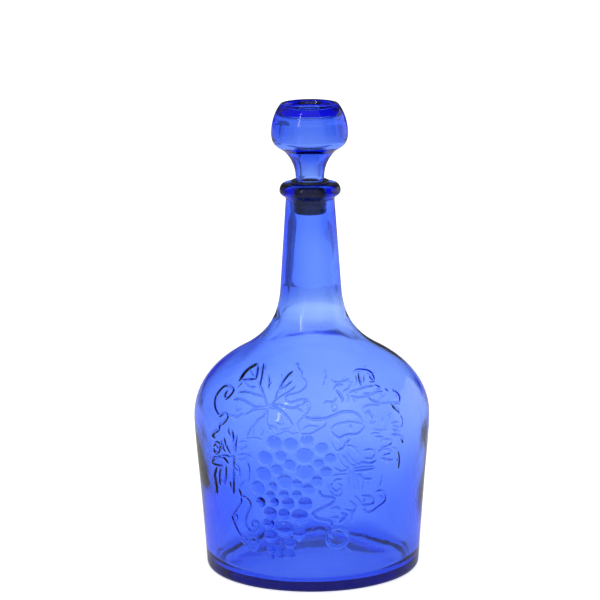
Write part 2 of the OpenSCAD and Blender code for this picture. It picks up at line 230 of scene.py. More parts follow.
UPPER_RIGHT_LEAF = [
    (0.5, [(25.2, 134.4), (28.3, 135.2), (34.4, 133.9), (37.5, 131.5), (38.3, 128.4), (35.0, 128.6)]),
    (1.0, [(28.8, 133.2), (29.5, 130.2), (30.1, 127.5)]),
    (0.6, [(32.2, 132.2), (31.9, 128.7)]),
    (0.7, [(36.9, 132.1), (35.9, 130.5), (37.7, 128.9)]),
    (0.6, [(38.5, 126.9), (42.1, 124.6), (39.1, 124.4)]),
    (0.55, [(22.7, 124.8), (27.3, 125.6), (32.7, 126.3), (38.2, 126.4)]),
    (0.55, [(31.1, 123.4), (36.4, 122.6), (41.1, 123.0), (43.6, 122.3)]),
    (0.5, [(23.4, 122.8), (28.7, 121.6), (34.1, 121.8), (39.1, 122.6)]),
    (0.65, [(34.1, 121.1), (37.2, 118.7), (41.9, 116.9)]),
    (0.45, [(12.1, 131.5), (15.1, 130.4), (19.7, 130.6), (22.9, 131.6)]),
    (0.8, [(8.8, 134.0), (8.3, 132.6)]),
    (0.8, [(7.5, 131.2), (7.1, 129.8)]),
    (0.4, [(8.2, 136.9), (8.8, 134.6)]),
    (0.55, [(13.1, 127.1), (15.1, 129.0), (19.1, 128.9)]),
    (1.0, [(15.1, 126.2), (16.7, 124.4), (18.5, 121.9), (18.1, 120.2)]),
    (0.5, [(7.0, 119.8), (9.0, 120.7), (12.9, 120.4), (15.2, 122.3)]),
    (0.5, [(21.1, 124.2), (22.3, 122.1), (21.4, 119.5)]),
    (0.6, [(24.8, 121.5), (26.1, 119.6)]),
    (0.5, [(13.2, 119.6), (11.7, 117.2), (13.0, 115.3), (15.0, 116.6), (14.0, 119.3)]),
    (0.45, [(25.1, 130.1), (23.5, 128.5), (21.9, 126.7), (18.9, 125.7)]),
    (0.45, [(26.7, 132.9), (27.5, 130.4), (27.0, 128.2)]),
]
RUFFLED_LEAF = [
    (1.1, [(45.2, 123.4), (46.7, 122.3)]),
    (0.8, [(49.8, 122.0), (50.4, 120.9)]),
    (0.6, [(49.7, 122.3), (52.8, 119.5), (54.0, 116.8), (53.3, 114.6), (48.8, 115.6),
           (42.5, 116.7), (41.8, 119.3), (45.1, 120.7)]),
    (1.2, [(48.7, 114.9), (50.9, 112.2), (53.1, 110.1), (53.4, 108.7)]),
    (0.5, [(30.1, 107.6), (30.5, 112.7), (31.7, 116.1), (35.6, 116.6), (41.9, 115.6)]),
    (0.9, [(32.1, 112.4), (34.4, 112.9), (36.7, 109.8), (37.2, 108.2)]),
    (0.55, [(37.2, 108.2), (35.2, 105.7), (38.9, 106.6)]),
    (1.0, [(42.7, 108.2), (43.0, 104.9)]),
    (0.7, [(45.5, 108.3), (48.0, 109.3), (46.6, 105.1)]),
    (0.6, [(47.0, 111.3), (47.6, 108.6)]),
    (0.5, [(54.1, 108.2), (55.5, 103.7), (54.6, 98.9)]),
    (1.0, [(48.6, 103.9), (52.7, 103.6)]),
    (0.8, [(49.2, 102.3), (54.2, 99.6)]),
    (0.8, [(48.9, 100.0), (54.2, 97.3)]),
    (1.2, [(48.9, 96.8), (54.1, 94.3), (56.3, 89.4)]),
    (1.0, [(38.5, 97.6), (43.3, 96.3)]),
    (0.6, [(41.6, 93.0), (43.1, 95.2), (48.0, 93.5), (47.8, 90.9), (41.6, 90.0)]),
    (0.8, [(39.9, 86.9), (42.4, 89.0), (46.2, 88.2), (48.0, 85.4), (43.1, 84.8)]),
    (1.1, [(42.0, 83.2), (45.5, 81.3), (49.6, 79.9)]),
    (0.6, [(49.1, 88.8), (52.5, 85.8), (53.5, 80.6), (53.0, 74.0)]),
    (0.5, [(37.0, 102.4), (41.6, 101.0), (46.3, 100.9)]),
    (0.5, [(35.4, 99.6), (38.5, 100.0), (41.6, 98.7)]),
]
CENTRE_RIGHT_LEAF = [
    (0.5, [(14.7, 89.7), (16.3, 85.7), (19.4, 81.5), (23.3, 79.4)]),
    (0.55, [(18.6, 88.8), (21.6, 83.7), (25.6, 80.7)]),
    (0.55, [(20.9, 90.2), (24.7, 84.2), (28.7, 81.2)]),
    (0.6, [(30.8, 89.9), (35.4, 90.2), (37.9, 87.2), (36.2, 84.4), (31.0, 85.1)]),
    (0.9, [(29.3, 82.8), (35.4, 81.1), (38.8, 82.3)]),
    (0.6, [(19.4, 93.5), (23.2, 94.0), (26.2, 91.3), (27.8, 88.0)]),
    (0.6, [(23.2, 79.9), (17.8, 78.2), (13.1, 80.7)]),
    (0.6, [(23.2, 80.3), (21.0, 83.8), (18.0, 88.2)]),
    (0.6, [(23.5, 80.6), (22.0, 84.5), (21.0, 88.6)]),
    (0.6, [(23.9, 80.4), (28.5, 81.7), (35.6, 81.2)]),
    (1.0, [(25.3, 77.6), (32.3, 77.3), (37.9, 77.6)]),
    (0.6, [(24.7, 79.2), (31.6, 79.6), (37.7, 78.9)]),
    (0.9, [(28.5, 75.4), (31.4, 71.8), (36.3, 70.9)]),
    (0.55, [(12.3, 75.8), (17.1, 76.3), (21.0, 76.0)]),
    (0.6, [(12.8, 71.8), (14.9, 73.1), (18.1, 73.0)]),
    (0.6, [(22.9, 78.8), (22.1, 72.4), (23.1, 64.9)]),
    (0.6, [(24.1, 77.8), (25.4, 70.5), (25.4, 65.3)]),
    (0.6, [(25.4, 76.9), (27.7, 69.4), (28.2, 65.0)]),
    (0.6, [(26.8, 76.3), (30.8, 69.8), (30.5, 64.7)]),
    (0.5, [(33.1, 70.3), (35.1, 66.3)]),
    (0.5, [(12.8, 71.6), (11.2, 68.9), (14.7, 65.5), (17.8, 68.6), (15.5, 70.5)]),
    (0.45, [(42.8, 73.5), (42.4, 69.5), (40.8, 64.8)]),
    (0.45, [(9.1, 70.8), (10.9, 65.1), (15.5, 62.4), (18.5, 64.6)]),
]
LOWER_RIGHT_BITS = [
    (0.7, [(30.0, 61.0), (35.4, 59.6), (37.6, 56.6), (36.2, 54.7), (29.8, 54.9)]),
    (0.7, [(31.9, 59.6), (31.1, 55.8)]),
    (0.5, [(25.4, 61.6), (28.5, 58.0), (30.0, 55.3)]),
    (0.7, [(38.5, 62.1), (42.4, 62.2), (44.9, 58.3), (44.0, 54.5), (40.1, 52.1), (35.4, 49.5),
           (32.3, 50.0)]),
    (0.9, [(41.3, 59.1), (43.8, 56.8)]),
    (1.5, [(31.7, 51.4), (32.2, 50.5)]),
]
CENTRE_TENDRIL = [
    (0.9, [(4.1, 66.7), (5.0, 63.5), (7.9, 62.3), (11.7, 61.7), (13.3, 60.0), (11.5, 57.6),
           (7.8, 55.9), (2.5, 53.2), (0.6, 51.1), (2.6, 48.5), (7.0, 47.3), (10.2, 46.4),
           (11.0, 43.9), (10.5, 39.1), (11.7, 36.3)]),
    (0.6, [(11.0, 54.4), (14.7, 55.2), (16.4, 53.3)]),
    (0.6, [(11.6, 48.5), (14.7, 48.8), (15.4, 47.1)]),
    (1.1, [(17.9, 51.0), (20.0, 49.0), (17.1, 45.2)]),
    (0.6, [(22.8, 58.4), (25.4, 55.9), (26.2, 53.9), (24.6, 50.3), (23.8, 44.6)]),
    (0.6, [(20.0, 53.2), (23.1, 52.1), (22.8, 49.7)]),
    (0.8, [(9.4, 26.7), (10.0, 25.4)]),
    (0.6, [(19.6, 28.7), (23.2, 25.1)]),
]
ALL_STROKES = [
    LEAF_VEINS, LEAF_FOLD, LEAF_RIM, CURL, SIDE_LEAF,
    LOW_TENDRILS, BRANCH, OVAL_LEAF, UPPER_RIGHT_LEAF,
    RUFFLED_LEAF, CENTRE_RIGHT_LEAF, LOWER_RIGHT_BITS, CENTRE_TENDRIL,
]
BARBED_STROKES = [LEAF_VEINS, SIDE_LEAF, OVAL_LEAF, UPPER_RIGHT_LEAF, RUFFLED_LEAF, CENTRE_RIGHT_LEAF]
BARB_SPACING, BARB_LENGTH, BARB_HALF_WIDTH, BARB_H = 3.0, 2.6, 0.45, 0.5
STROKE_WIDEN, STROKE_H = 1.15, 1.15
# Strokes that start further out than EDGE_X are seen aslant, and lie lower
EDGE_X, EDGE_STROKE_H = 36.0, 0.85
# Centre and radius of the tendril's ring
RING = (15.0, 35.7, 6.3)
INNER_WAVE, OUTER_WAVE = 0.12, 0.03
# How much of the pattern the inside wall follows, and over how many fine steps it is softened
FOLLOW, SOFTEN = 0.08, 4
# How much thicker or thinner than the CAD's the wall is: at the left, in the neck, at the
# shoulder and low in the body, which sets how deep its colour is there. The thicker wall at
# the left and low in the body is painted shade of the darker left side and lower body
LEFT_SHADE_THICKER, NECK_THINNER, SHOULDER_THICKER, FLARE = 0.55, 0.35, 0.3, 13
LOW_SHADE_THICKER, LOW_FADE, LOW_RISE = 1.5, 100, 22
# None of that reaches the bore, where the sleeve's ribs have little room
BORE_CLEAR, BORE_FADE, SMOOTH_ROWS = 4, 10, 24


def bezier(a, b, c, d, steps=120):
    t = np.linspace(0, 1, steps + 1)[:, None]
    u = 1 - t
    a, b, c, d = (np.asarray(p, float) for p in (a, b, c, d))
    return u**3 * a + 3 * u * u * t * b + 3 * u * t * t * c + t**3 * d


def unit(degrees):
    return np.array([math.cos(math.radians(degrees)), math.sin(math.radians(degrees))])


def arc(centre, rx, rz, a0, a1, steps=12):
    a = np.radians(np.linspace(a0, a1, steps + 1))
    return np.stack([centre[0] + rx * np.cos(a), centre[1] + rz * np.sin(a)], axis=1)


def dome(rim_r, rise, z, steps=16):
    """From the rim to the centre."""
    ball = (rim_r**2 + rise**2) / (2 * rise)
    r = np.linspace(rim_r, 0, steps + 1)
    return np.stack([r, z + rise - ball + np.sqrt(ball**2 - r**2)], axis=1)


def line(*points):
    return np.array(points, float)


def divide(section, sub=1):
    """Rows at even steps along each (polyline, step) stretch of a section, each step cut in sub."""
    rows = []
    for points, step in section:
        length = np.r_[0, np.cumsum(np.hypot(*np.diff(points, axis=0).T))]
        count = max(1, math.ceil(length[-1] / step))
        at = np.linspace(0, length[-1], count * sub + 1)
        part = np.stack([np.interp(at, length, points[:, k]) for k in (0, 1)], axis=1)
        rows += list(part if not rows else part[1:])
    return np.array(rows)


def wall_curve(low, depth):
    """The body's wall from heel to neck, moved in by low at the heel and by depth above."""
    lean = np.array([-math.sin(LEAN), math.cos(LEAN)])
    inward = np.array([-math.cos(LEAN), -math.sin(LEAN)])
    turn = TURN + depth * inward
    widest = np.array([BODY_R - depth, WIDEST_Z])
    heel = np.array([FOOT_R + HEEL_ROUND - low, HEEL_ROUND + low])
    slope = (NECK_TOP_R - NECK_FOOT[0]) / (LIP_Z - LIP_UNDER - NECK_FOOT[1])
    neck = NECK_FOOT - [depth, 0]
    return np.concatenate([
        bezier(heel, widest - [2.8, 31], widest - [0, 12], widest)[:-1],
        bezier(widest, widest + [0, 23.1 - depth], turn - 13 * lean, turn)[:-1],
        bezier(turn, turn + 20 * lean, neck - [18 * slope, 18], neck),
    ])


def outside_section():
    """Stretches from the centre of the underside up to the lip's top edge."""
    neck_top = np.array([NECK_TOP_R, LIP_Z - LIP_UNDER])
    neck_end = neck_top + (NECK_FOOT - neck_top) * FILLET / (neck_top[1] - NECK_FOOT[1])
    middle = [LIP_R - LIP_BULGE, LIP_Z]
    under = np.array(middle) + [LIP_BULGE, LIP_UNDER] * unit(-60)
    heel = [FOOT_R, HEEL_ROUND]
    wall = wall_curve(0, 0)
    rim = arc([PUNT_R, -3.0], 3.0, 3.0, 130, 90, 4)
    punt = dome(PUNT_R - 2.2, PUNT_RISE, 0.2)[::-1]
    return [
        (np.concatenate([punt, rim[1:]]), 4.0),
        (line([PUNT_R, 0], [FOOT_R, 0]), 4.0),
        (arc(heel, HEEL_ROUND, HEEL_ROUND, -90, -8), 0.9),
        (np.concatenate([arc(heel, HEEL_ROUND, HEEL_ROUND, -8, -7, 1)[:1], wall]), CELL),
        (line(NECK_FOOT, neck_end), 3.6),
        (bezier(neck_end, neck_end + [0, 1.7], under - [1.3, 0.7], under), 0.6),
        (arc(middle, LIP_BULGE, LIP_UNDER, -60, 0), 0.6),
        (arc(middle, LIP_BULGE, BOTTLE_H - LIP_Z, 0, 90), 0.6),
    ]


def inside_section():
    """Stretches from the lip's top edge down to the centre of the inner floor."""
    mouth = [BORE_R + MOUTH_ROUND, BOTTLE_H - MOUTH_ROUND]
    heel = [FOOT_R + HEEL_ROUND - WALL_LOW - INNER_HEEL + INNER_HEEL_OUT, BASE_THICK + INNER_HEEL]
    wall = wall_curve(WALL_LOW, WALL)
    wall = wall[(wall[:, 1] > heel[1]) & (wall[:, 1] < NECK_FOOT[1] - FLARE_LOW)][::-1]
    neck_inner = [NECK_FOOT_INNER_R, NECK_FOOT[1]]
    bore_end = [BORE_R, BOTTLE_H - BORE_DEPTH]
    low = arc(heel, INNER_HEEL, INNER_HEEL, -8, -84)
    return [
        (line([LIP_R - LIP_BULGE, BOTTLE_H], [mouth[0], BOTTLE_H]), 1.5),
        (arc(mouth, MOUTH_ROUND, MOUTH_ROUND, 90, 180, 6), 0.25),
        (line([BORE_R, mouth[1]], bore_end), 3.0),
        (line(bore_end, neck_inner), 3.6),
        (np.concatenate([line(neck_inner), wall]), 2.4),
        (np.concatenate([wall[-1:], low]), 1.5),
        (np.concatenate([low[-1:], dome(heel[0], PUNT_RISE, BASE_THICK)]), 4.0),
    ]


def smooth_path(points, step=0.35):
    """Points at even steps along a smooth curve through the given ones."""
    p = np.asarray(points, float)
    if len(p) > 2:
        ends = np.vstack([2 * p[0] - p[1], p, 2 * p[-1] - p[-2]])
        t = np.linspace(0, 1, 13)[:-1, None]
        pieces = []
        for a, b, c, d in zip(ends, ends[1:], ends[2:], ends[3:]):
            pieces.append(
                0.5 * (2 * b + (c - a) * t + (2 * a - 5 * b + 4 * c - d) * t**2
                       + (3 * b - a - 3 * c + d) * t**3)
            )
        p = np.vstack(pieces + [p[-1:]])
    length = np.r_[0, np.cumsum(np.hypot(*np.diff(p, axis=0).T))]
    at = np.linspace(0, length[-1], max(2, int(length[-1] / step)))
    return np.stack([np.interp(at, length, p[:, k]) for k in (0, 1)], axis=1)


class Relief:
    """Height of the pressed pattern over a lattice of points on the outside wall."""

    def __init__(self, points, height_of_rows):
        self.points = points
        self.rows = height_of_rows
        self.turn = np.linspace(0, 2 * math.pi, points.shape[1], endpoint=False)
        self.h = np.zeros(points.shape[:2])

    def place(self, x, z):
        r = np.interp(z, self.rows, np.hypot(self.points[:, 0, 0], self.points[:, 0, 1]))
        return np.array([x, -math.sqrt(max(r * r - x * x, 0)), z])

    def window(self, centre, reach):
        """Lattice rows and columns round a point on the wall, and their distances to it."""
        rows = np.flatnonzero(abs(self.rows - centre[2]) <= reach)
        r = math.hypot(centre[0], centre[1])
        middle = math.atan2(centre[0], -centre[1]) / (2 * math.pi) * len(self.turn)
        half = math.ceil(reach / r / (2 * math.pi) * len(self.turn))
        columns = (np.arange(round(middle) - half, round(middle) + half + 1)) % len(self.turn)
        block = np.ix_(rows, columns)
        return block, np.linalg.norm(self.points[block] - centre, axis=2)

    def raise_to(self, block, height):
        self.h[block] = np.maximum(self.h[block], height)

    def ridge(self, points, half_width, height):
        path = smooth_path(points)
        ends = np.minimum(np.arange(len(path)), np.arange(len(path))[::-1]) / 5.0
        for (x, z), end in zip(path, ends):
            taper = 0.55 + 0.45 * min(1.0, end)
            centre, width = self.place(x, z), half_width * taper
            block, d = self.window(centre, width + 0.5)
            self.raise_to(block, height * taper * np.clip(1 - (d / width) ** 2, 0, None) ** 0.8)

    def grape(self, x, z, radius, height):
        centre = self.place(x, z)
        block, d = self.window(centre, radius + 0.5)
        self.raise_to(block, height * np.clip(1 - (d / radius) ** 2, 0, None) ** 0.55)

    def ring(self, x, z, radius, half_width, height):
        a = np.linspace(0, 2 * math.pi, 40)
        self.ridge(np.stack([x + radius * np.cos(a), z + radius * np.sin(a)], 1), half_width, height)


def barbs(points, spacing, length):
    """Short side veins that leave a stroke by turns to its left and right."""
    path = smooth_path(points, 0.5)
    every = max(1, round(spacing / 0.5))
    for n, at in enumerate(range(every, len(path) - 2, every)):
        along = path[at + 1] - path[at - 1]
        along /= np.hypot(*along)
        side = np.array([-along[1], along[0]]) * (1 if n % 2 else -1)
        reach = length * (0.8 + 0.35 * math.sin(2.4 * n + path[at][0]))
        tip = path[at] + reach * (0.75 * along + 0.65 * side)
        middle = path[at] + reach * (0.3 * along + 0.42 * side)
        yield [path[at] + 0.9 * side, middle, tip]


def body_relief(relief):
    for x, z, radius in GRAPES:
        relief.grape(x, z, radius, GRAPE_H if z > 60 else GRAPE_H_LOW)
    for strokes in ALL_STROKES:
        for half_width, points in strokes:
            height = STROKE_H if abs(points[0][0]) < EDGE_X else EDGE_STROKE_H
            relief.ridge(points, STROKE_WIDEN * half_width, height * math.sqrt(half_width))
    for strokes in BARBED_STROKES:
        for _, points in strokes:
            for barb in barbs(points, BARB_SPACING, BARB_LENGTH):
                relief.ridge(barb, BARB_HALF_WIDTH, BARB_H)
    relief.ring(*RING, 1.1, 1.1)


def surface(rows_sub, turn):
    """Points of a surface of revolution, rows by columns."""
    r, z = rows_sub[:, 0, None], rows_sub[:, 1, None]
    return np.stack([r * np.sin(turn), -r * np.cos(turn), z + 0 * turn], axis=2)


def out_normals(rows_sub, turn):
    d = np.gradient(rows_sub, axis=0)
    d /= np.maximum(np.hypot(d[:, 0], d[:, 1]), 1e-9)[:, None]
    r, z = d[:, 1, None], -d[:, 0, None]
    return np.stack([r * np.sin(turn), -r * np.cos(turn), z + 0 * turn], axis=2)


def add_object(name, verts, faces, material, body, node, slot):
    mesh = bpy.data.meshes.new(name)
    mesh.from_pydata((np.asarray(verts) * MM).tolist(), [], faces)
    mesh.polygons.foreach_set("use_smooth", np.ones(len(mesh.polygons), bool))
    mesh.materials.append(material)
    mesh.update()
    mesh.validate()
    obj = bpy.data.objects.new(name, mesh)
    bpy.context.scene.collection.objects.link(obj)
    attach(obj, body)
    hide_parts(node)
    return obj


def bottle_mesh():
    outside, inside = divide(outside_section(), SUB), divide(inside_section(), SUB)
    fine = np.concatenate([outside, inside[1:]])
    turn = np.linspace(0, 2 * math.pi, COLUMNS * SUB, endpoint=False)
    grid = surface(fine, turn)
    last = len(outside) - 1
    zone = [j for j in range(last) if 14 < fine[j, 1] < 150 and fine[j, 0] > 30]
    zone = slice(zone[0] // SUB * SUB, zone[-1] // SUB * SUB + 1)
    relief = Relief(grid[zone], fine[zone, 1])
    body_relief(relief)
    pattern = np.zeros(grid.shape[:2])
    pattern[zone] = relief.h
    soft = softened(relief.h)
    within = [j for j in range(last + 1, len(fine)) if 14 < fine[j, 1] < 150 and fine[j, 0] > 30]
    level = np.interp(fine[within, 1], relief.rows, np.arange(len(relief.rows))).round().astype(int)
    pattern[within] = -FOLLOW * soft[level]
    height = pattern + blown_waves(fine, turn, last)
    grid = grid + out_normals(fine, turn) * height[:, :, None]
    return lattice_faces(grid, uneven_cells(pattern), (len(fine) - 1) // SUB)


def softened(height):
    """The pattern as the slower inside wall of blown glass takes it."""
    for _ in range(2):
        for axis in (0, 1):
            height = sum(np.roll(height, k, axis) for k in range(-SOFTEN, SOFTEN + 1)) / (2 * SOFTEN + 1)
    return height


def blown_waves(fine, turn, last):
    """Slow unevenness of the glass: slight outside, plainer inside."""
    z = fine[:, 1, None]
    waves = (np.sin(3 * turn + 0.04 * z + 0.6) * np.sin(0.05 * z + 1.1)
             + 0.6 * np.sin(7 * turn - 0.09 * z) + 0.4 * np.sin(12 * turn + 0.16 * z + 2.0))
    reach = np.clip(fine[:, 0, None] / 50, 0, 1) ** 2
    inside = np.arange(len(fine))[:, None] > last
    amount = np.where(inside, INNER_WAVE, OUTER_WAVE)
    return waves * reach * amount + extra_thickness(fine, turn, inside)


def extra_thickness(fine, turn, inside):
    """How far the inside wall stands in from the CAD's, fading out below the bore."""
    z = fine[:, 1, None]
    changed = inside & (z > BASE_THICK + INNER_HEEL) & (fine[:, 0, None] > BORE_R + 1)
    # The thicker wall low in the body is painted shade: it deepens the colour of the lower body
    low = LOW_SHADE_THICKER * np.clip((LOW_FADE - z) / LOW_FADE * 2, 0, 1)
    low = low * np.clip((z - BASE_THICK - INNER_HEEL) / LOW_RISE, 0, 1)
    shoulder = SHOULDER_THICKER * (z > NECK_FOOT[1] - 4 * FLARE)
    neck = np.where(z > NECK_FOOT[1] + FLARE, -NECK_THINNER, shoulder)
    # The -sin(turn) term thickens the left wall as painted shade, darkening the bottle's left side
    thickness_and_shade = -LEFT_SHADE_THICKER * np.sin(turn) + neck + low
    below_bore = np.clip((BOTTLE_H - BORE_DEPTH - BORE_CLEAR - z) / BORE_FADE, 0, 1)
    return below_bore * smooth_rows(np.where(changed, thickness_and_shade, 0), SMOOTH_ROWS)


def smooth_rows(values, reach):
    """Each row's values averaged with those of the rows near it."""
    before, after = np.repeat(values[:1], reach + 1, 0), np.repeat(values[-1:], reach, 0)
    total = np.cumsum(np.vstack([before, values, after]), 0)
    return (total[2 * reach + 1:] - total[:-2 * reach - 1]) / (2 * reach + 1)


def uneven_cells(heights, least=0.015):
    """Which large cells the pattern's height changes in."""
    n, rows = SUB, (len(heights) - 1) // SUB
    low, high = np.full((rows, COLUMNS), 9.0), np.full((rows, COLUMNS), -9.0)
    for a in range(n + 1):
        block = heights[a:a + rows * n:n]
        for b in range(n + 1):
            part = np.roll(block, -b, axis=1)[:, ::n]
            low, high = np.minimum(low, part), np.maximum(high, part)
    return high - low > least


def lattice_faces(grid, cells, rows):
    """A closed mesh: large cells, some divided finely, stitched without gaps."""
    n, width = SUB, COLUMNS * SUB
    used = np.zeros(grid.shape[:2], bool)
    used[::n, ::n] = True
    for j, i in zip(*np.nonzero(cells)):
        columns = [(i * n + b) % width for b in range(n + 1)]
        used[np.ix_(range(j * n, j * n + n + 1), columns)] = True
    used[0, 1:] = used[-1, 1:] = False
    number = np.cumsum(used.ravel()).reshape(used.shape) - 1

    def vertex(j, i):
        return int(number[j, 0] if j in (0, rows * n) else number[j, i % width])

    faces = []
    for j in range(rows):
        for i in range(COLUMNS):
            faces += fine_faces(vertex, j, i) if cells[j, i] else [large_face(vertex, cells, j, i, rows)]
    return grid[used], faces


def fine_faces(vertex, j, i):
    """The small squares of a divided cell."""
    low, left = j * SUB, i * SUB
    return [
        (vertex(low + a, left + b), vertex(low + a, left + b + 1),
         vertex(low + a + 1, left + b + 1), vertex(low + a + 1, left + b))
        for a in range(SUB) for b in range(SUB)
    ]


def large_face(vertex, cells, j, i, rows):
    """One undivided cell, with extra corners where a neighbour is divided."""
    n, low, left = SUB, j * SUB, i * SUB
    inner = range(1, n)
    ring = [vertex(low, left)]
    if j > 0 and cells[j - 1, i]:
        ring += [vertex(low, left + b) for b in inner]
    ring.append(vertex(low, left + n))
    if cells[j, (i + 1) % COLUMNS]:
        ring += [vertex(low + a, left + n) for a in inner]
    ring.append(vertex(low + n, left + n))
    if j + 1 < rows and cells[j + 1, i]:
        ring += [vertex(low + n, left + n - b) for b in inner]
    ring.append(vertex(low + n, left))
    if cells[j, i - 1]:
        ring += [vertex(low + n - a, left) for a in inner]
    return tuple(dict.fromkeys(ring))


def knob_section():
    """Closed on the axis at the dish and open up the peg: outside, dish, then the hollow's end."""
    peg_r, peg_z = PEG_R - 0.04, KNOB_LOW[2]
    foot = STEM_Z + 0.02
    rim = np.array([CREST_R, KNOB_TOP - RIM_ROUND])
    side, brink = (rim + RIM_ROUND * unit(a) for a in (60, 165))
    widest = np.array([KNOB_R, STEM_Z + 29.3])
    corner = np.array([KNOB_R - 2.5, STEM_Z + 22.0])
    flare = np.array([15.5, STEM_Z + 17.8])
    stem = np.array([STEM_R, STEM_Z + 1.5])
    floor = np.array([CREST_R - 4.2, KNOB_TOP - DISH_DEPTH])
    return [
        (line([STEM_BORE_R, peg_z], [peg_r - 0.6, peg_z], [peg_r, peg_z + 0.6]), 0.8),
        (line([peg_r, peg_z + 0.6], [peg_r, foot]), 3.0),
        (line([peg_r, foot], [STEM_R, foot], stem), 0.5),
        (bezier(stem, stem + [0, 6.5], [11.4, STEM_Z + 13.3], flare), 0.8),
        (bezier(flare, flare + [2.6, 2.1], corner - [1.4, 1.6], corner), 0.6),
        (bezier(corner, corner + [1.2, 0.9], widest - [0, 4], widest), 0.6),
        (bezier(widest, widest + [0, 8], rim + [3.6, -1.6], side), 0.8),
        (arc(rim, RIM_ROUND, RIM_ROUND, 60, 165), 0.3),
        (bezier(brink, brink - [0.4, 1.6], floor + [2.0, 0], floor), 0.35),
        (line(floor, floor * [0.5, 1] - [0, 0.1], [0, floor[1] - 0.2]), 0.5),
    ]


def hollow_section():
    """The hollow's surface from the top of its roof down to the open end of the peg."""
    foot = np.array([STEM_BORE_R, STEM_Z + 7])
    throat = np.array([THROAT_R, STEM_Z + THROAT_UP])
    roof_z = KNOB_TOP - DISH_DEPTH - ROOF
    side_r = KNOB_R - KNOB_WALL
    shoulder, heel = np.array([side_r, roof_z - 5]), np.array([KNOB_R - KNOB_WALL_LOW, STEM_Z + 25.5])
    return [
        (line([0, roof_z], [side_r - 4.5, roof_z]), 1.2),
        (bezier([side_r - 4.5, roof_z], [side_r - 1.5, roof_z], shoulder + [0, 3], shoulder), 0.4),
        (line(shoulder, heel), 0.8),
        (bezier(heel, heel - [0, 1.6], throat + [4.2, -0.3], throat + [0.3, 0.0]), 0.4),
        (np.concatenate([
            line(throat + [0.3, 0.0]),
            bezier(throat, throat - [3.4, 2.5], foot + [0, 6], foot),
        ]), 0.8),
        (line(foot, [STEM_BORE_R, KNOB_LOW[2]]), 2.0),
    ]


def sleeve_section():
    tail_z, flange_z = SLEEVE_LOW[2], STEM_Z - FLANGE_T
    pitch = (flange_z - tail_z - 4.5) / (RIBS - 1)
    side = [[0, tail_z], [SLEEVE_R - 1, tail_z], [SLEEVE_R, tail_z + 1]]
    for k in range(RIBS):
        z = tail_z + 2.4 + k * pitch
        side += [[SLEEVE_R, z - 0.7], [RIB_R - 0.1, z - 0.3], [RIB_R, z]]
        side += [[RIB_R - 0.1, z + 0.3], [SLEEVE_R, z + 0.7]]
    side += [[SLEEVE_R, flange_z], [FLANGE_R - 0.3, flange_z], [FLANGE_R, flange_z + 0.3]]
    return [
        (line(*side), 0.35),
        (arc([FLANGE_R - 0.8, STEM_Z - 0.8], 0.8, 0.8, 0, 90, 6), 0.2),
        (line([FLANGE_R - 0.8, STEM_Z], [PEG_R, STEM_Z]), 1.0),
        (line([PEG_R, STEM_Z], [PEG_R, tail_z + SLEEVE_FLOOR]), 4.0),
        (line([PEG_R, tail_z + SLEEVE_FLOOR], [0, tail_z + SLEEVE_FLOOR]), 2.0),
    ]


def turned(points, columns):
    """Vertices and faces of a surface of revolution."""
    turn = np.linspace(0, 2 * math.pi, columns, endpoint=False)
    grid = surface(points, turn)
    verts, rings = [], []
    for row, (r, _) in zip(grid, points):
        ring = [len(verts)] * columns if r < 1e-6 else [len(verts) + i for i in range(columns)]
        verts += [row[0]] if r < 1e-6 else list(row)
        rings.append(ring)
    faces = []
    for low, high in zip(rings, rings[1:]):
        for i in range(columns):
            k = (i + 1) % columns
            faces.append(tuple(dict.fromkeys((low[i], low[k], high[k], high[i]))))
    return np.array(verts), faces


def swirl(verts):
    """A faint off-centre curl left in the knob's dish by the press."""
    out = verts.copy()
    x, y, z = verts.T
    top = z > KNOB_TOP - 4
    a, r = np.arctan2(y - 2.0, x - 1.0), np.hypot(x - 1.0, y - 2.0)
    curl = np.exp(-((r - 5.2 - 1.1 * a) / 0.8) ** 2) + 0.7 * np.exp(-((r - 1.6) / 0.7) ** 2)
    out[:, 2] += np.where(top & (r < 11), 0.5 * curl, 0)
    return out


def node_tree(name):
    material = bpy.data.materials.new(name)
    material.use_nodes = True
    tree = material.node_tree
    return material, tree, tree.nodes["Principled BSDF"], tree.nodes["Material Output"]


def add(tree, kind, **inputs):
    node = tree.nodes.new(kind)
    for key, value in inputs.items():
        node.inputs[key.replace("_", " ")].default_value = value
    return node


def glass(name):
    material, tree, shader, output = node_tree(name)
    shader.inputs["Base Color"].default_value = (1, 1, 1, 1)
    shader.inputs["Transmission Weight"].default_value = 1
    shader.inputs["IOR"].default_value = GLASS_IOR
    place = tree.nodes.new("ShaderNodeTexCoord")
    haze = add(tree, "ShaderNodeTexNoise", Scale=420.0, Detail=4.0, Roughness=0.6)
    waves = add(tree, "ShaderNodeTexNoise", Scale=55.0, Detail=2.0, Roughness=0.4)
    gloss = add(tree, "ShaderNodeMapRange", From_Min=0.45, From_Max=0.8, To_Min=0.0, To_Max=0.035)
    bump = add(tree, "ShaderNodeBump", Strength=0.25, Distance=0.0006)
    ripple = add(tree, "ShaderNodeBump", Strength=0.1, Distance=0.0002)
    for noise in (haze, waves):
        tree.links.new(place.outputs["Object"], noise.inputs["Vector"])
    tree.links.new(haze.outputs["Fac"], gloss.inputs["Value"])
    tree.links.new(gloss.outputs["Result"], shader.inputs["Roughness"])
    tree.links.new(waves.outputs["Fac"], bump.inputs["Height"])
    tree.links.new(haze.outputs["Fac"], ripple.inputs["Height"])
    tree.links.new(bump.outputs["Normal"], ripple.inputs["Normal"])
    tree.links.new(ripple.outputs["Normal"], shader.inputs["Normal"])
    depth = add(tree, "ShaderNodeVolumeAbsorption", Color=GLASS_TINT, Density=GLASS_DENSITY)
    tree.links.new(depth.outputs["Volume"], output.inputs["Volume"])
    return material


